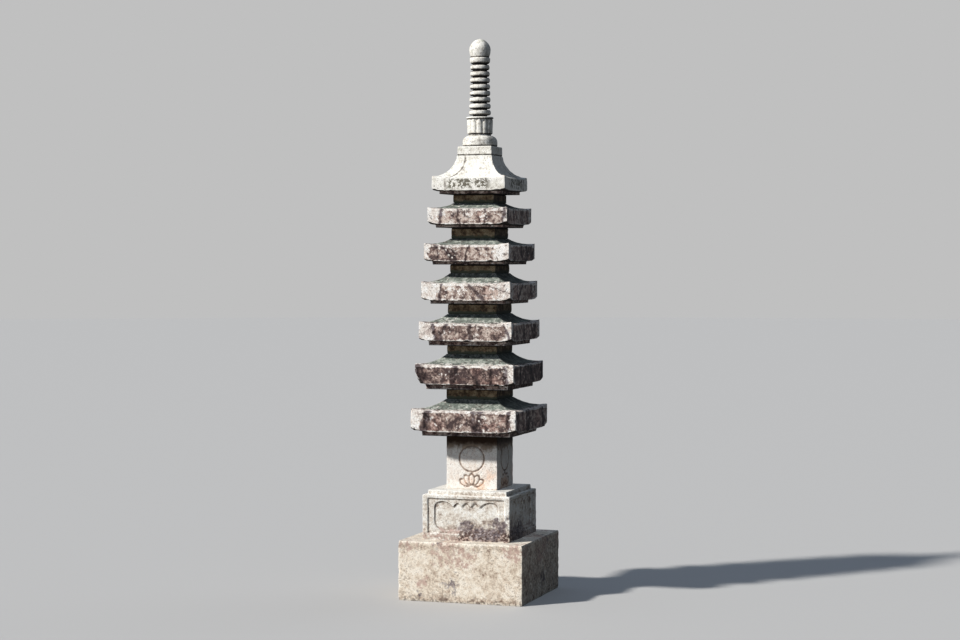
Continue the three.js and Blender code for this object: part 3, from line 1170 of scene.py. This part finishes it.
def recess_grime_and_shade(v):
    # Painted shade along the upper part of the outline of the recess.
    near_outline = between(0.015, 0.005, outline.find(v.co)[2]) * between(0.56, 0.70, v.co.z)
    lowest_band = between(low.z + 0.12, low.z + 0.02, v.co.z)
    lower_half = between(low.z + 0.26, low.z + 0.10, v.co.z)
    to_the_right = between(0.34, 0.50, along_the_eave(v.co, high.x))
    lowest = (0.25 + 0.75 * to_the_right) * (lowest_band + 0.5 * lower_half)
    return max(0.15 * near_outline, lowest)


def recess_stain(v):
    near_outline = between(0.030, 0.008, outline.find(v.co)[2])
    under_the_recess = near_outline * between(0.62, 0.56, v.co.z)
    return max(0.6 * under_the_recess, 0.55 * between(low.z + 0.16, low.z + 0.02, v.co.z))


damp = [(0.50, 0.58, 0.10), (0.66, 0.53, 0.12), (0.80, 0.54, 0.12), (0.90, 0.60, 0.10)]
skin.normal_update()
note(skin, "washed_and_lit_top", washed_and_lit_top)
note(skin, "grime_and_shade", recess_grime_and_shade)
note(skin, "damp", lambda v: 0.84 * patches(v, high.x, damp))
note(skin, "stain", recess_stain)
cool_wash, mauve_brown = tone(249, 252, 254), tone(190, 168, 158)
granite = plinth_granite(name, start=0.74, mottle=1.15, wash=cool_wash, stain=mauve_brown)
finish_stone(skin, name, granite)

# %% [markdown]
# ## The lower plinth
#
# The lower plinth is a plain block, stained pink near the top and splashed at the foot. Its
# sides turned from the sun are painted darker, with more pits, partly painted shade, and its
# arrises have the deepest chips. It could have a skin as fine as the others, but on the
# largest and plainest stone that would only cost points.

# %% Lower plinth
name = "lower_plinth"
low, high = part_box(name)
lower_plinth_voxel = 0.012
skin = wear(even_skin(merged_copy(name), lower_plinth_voxel), 32, chips=0.010)


def pits_and_shade(v):
    """Pits along the top, pits and painted shade on the sides turned from the sun, and splashes at
    the foot.
    """
    near_top = between(high.z - 0.09, high.z - 0.03, v.co.z)
    below_arris = between(high.z + 0.001, high.z - 0.01, v.co.z)
    at_foot = between(low.z + 0.10, low.z, v.co.z)
    return max(0.32 * near_top * below_arris, 0.5 * turned_away(v), 0.7 * at_foot)


damp = [(0.32, 0.46, 0.05), (0.45, 0.14, 0.12), (0.17, 0.07, 0.05)]
pink = [
    (0.40, 0.42, 0.20), (0.55, 0.36, 0.14), (0.92, 0.42, 0.12), (0.08, 0.44, 0.10),
    (0.20, 0.16, 0.08),
]
skin.normal_update()
note(skin, "washed_and_lit_top", washed_and_lit_top)
note(skin, "grime_and_shade", pits_and_shade)
note(skin, "damp", lambda v: 0.6 * patches(v, high.x, damp))
note(skin, "stain", lambda v: 0.66 * patches(v, high.x, pink))
warm_wash, pinkish_brown = tone(254, 249, 241), tone(200, 174, 160)
granite = plinth_granite(name, start=0.76, mottle=1.05, wash=warm_wash, stain=pinkish_brown)
finish_stone(skin, name, granite)

# %% [markdown]
# ## The finial
#
# The finial is a square base, an inverted bowl, a drum of upright petals, eight rings, a cup
# and a jewel, all bleached like the top roof. Dirt stays along the joints. Under the rings,
# deep between them and in the grooves the stone is painted darker, partly dirt and partly
# painted shade. One size of voxel would melt the petals or waste points on the base, so the
# finer the carving, the smaller the voxel.

# %% Finial
lowest_ring, highest_ring = (3.943, 0.090), (4.311, 0.079)  # height and radius
finial_voxels = {
    "finial_base": 0.0055,
    "finial_bowl": 0.0055,
    "finial_lotus": 0.003,
    "finial_rings": 0.004,
    "finial_cup": 0.004,
    "finial_jewel": 0.004,
}


# Painted shade, with some dirt, deep between the rings.
def between_rings(v):
    climb = (v.co.z - lowest_ring[0]) / (highest_ring[0] - lowest_ring[0])
    outer = lowest_ring[1] + (highest_ring[1] - lowest_ring[1]) * climb
    return 1.25 * between(outer - 0.002, outer - 0.009, math.hypot(v.co.x, v.co.y))


for seed, (name, voxel) in enumerate(finial_voxels.items(), start=40):
    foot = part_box(name)[0].z
    skin = wear(even_skin(merged_copy(name), voxel), seed, chips=0.003, dents=0.0008, most=0.7)
    skin.normal_update()

    def unwashed_and_shaded(v):
        above_joint = between(foot + 0.016, foot + 0.005, v.co.z)
        # Undersides darker: partly dirt, partly painted shade.
        amount = max(above_joint, 0.7 * between(-0.2, -0.7, v.normal.z))
        return max(amount, between_rings(v)) if name == "finial_rings" else amount

    note(skin, "joints_and_shade", unwashed_and_shaded)
    finish_stone(skin, name, bleached_granite(name))

print("all stones together have", sum(totals), "triangles")
